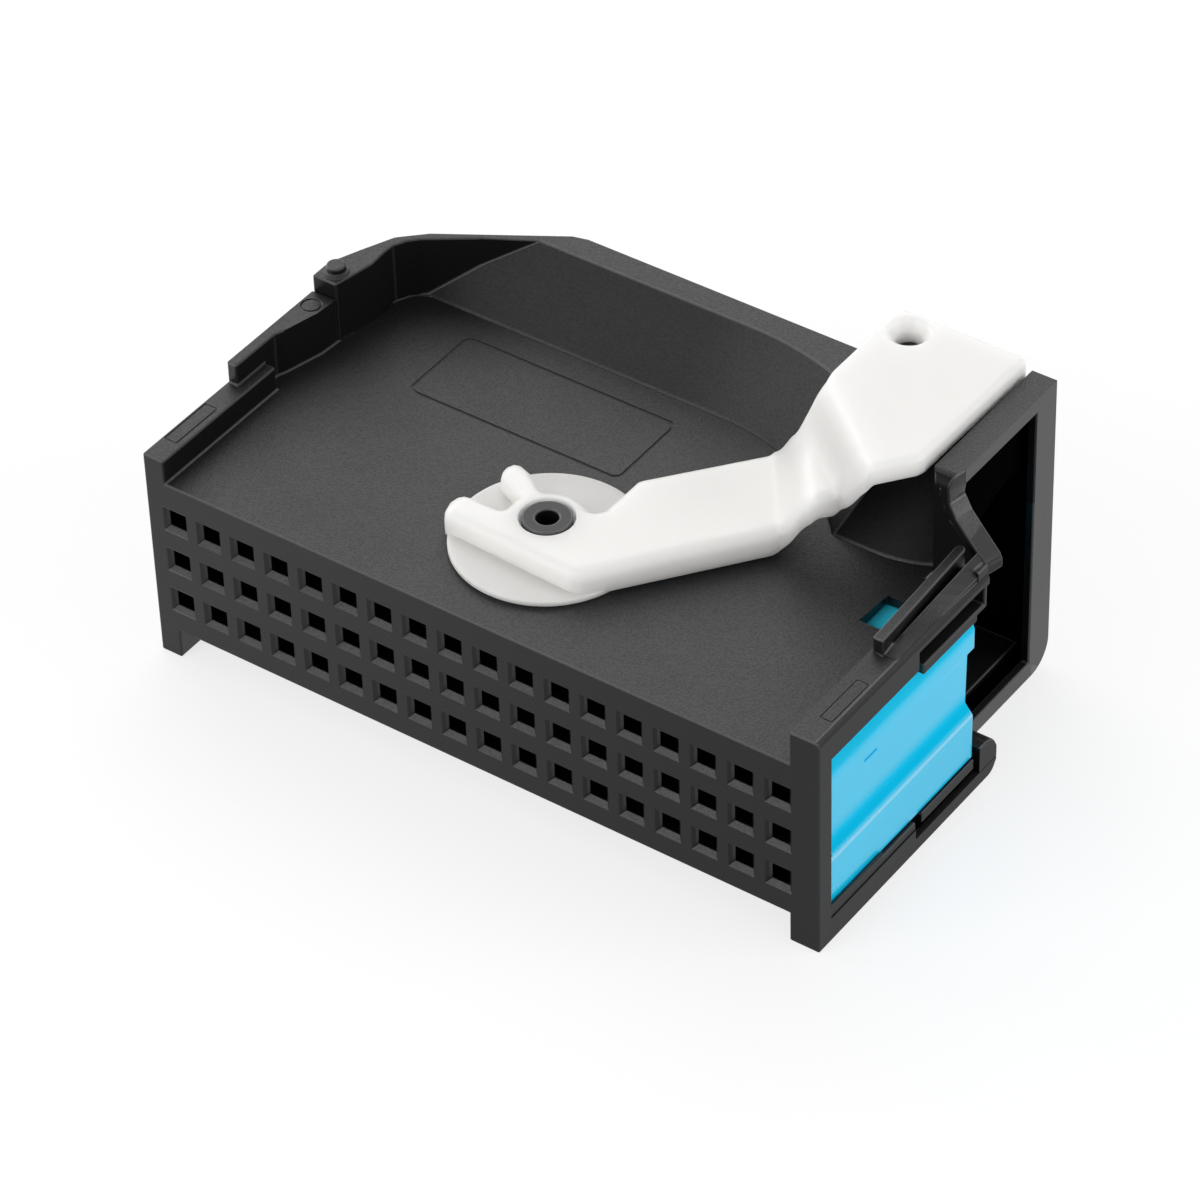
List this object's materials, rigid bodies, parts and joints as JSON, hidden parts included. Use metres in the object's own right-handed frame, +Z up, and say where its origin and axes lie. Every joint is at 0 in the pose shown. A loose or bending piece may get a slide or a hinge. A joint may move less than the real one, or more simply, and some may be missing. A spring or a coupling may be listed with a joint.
{
  "type": "automotive wiring connector",
  "caption": "Lever-locked automotive wiring connector: flat housing with rows of square contact cavities, rear wire cover with a side outlet, and a cranked locking lever on a pin.",
  "frame": {"origin": "bottom centre of the whole connector: half way across its width and depth, at the level of its feet", "axes": "+X towards the wire outlet, -Y out of the mating face, +Z up through the lever"},
  "size_m": [0.0756, 0.0456, 0.0352],
  "materials": {
    "black_housing": "fine grain",
    "black_cover": "fine grain",
    "blue_carrier": "satin",
    "white_lever": "satin",
    "black_pin": "satin"
  },
  "bodies": {
    "connector_body": {"housing": "black_housing", "wire_cover": "black_cover", "contact_carrier": "blue_carrier", "pivot_pin": "black_pin"},
    "lever": {"lever": "white_lever"}
  },
  "joints": [
    {"name": "lever_pivot", "type": "hinge", "parent": "connector_body", "child": "lever", "pos_m": [-0.0006, -0.0099, 0.023], "axis": [0, 0, 1], "range_deg": [0, 90]}
  ]
}
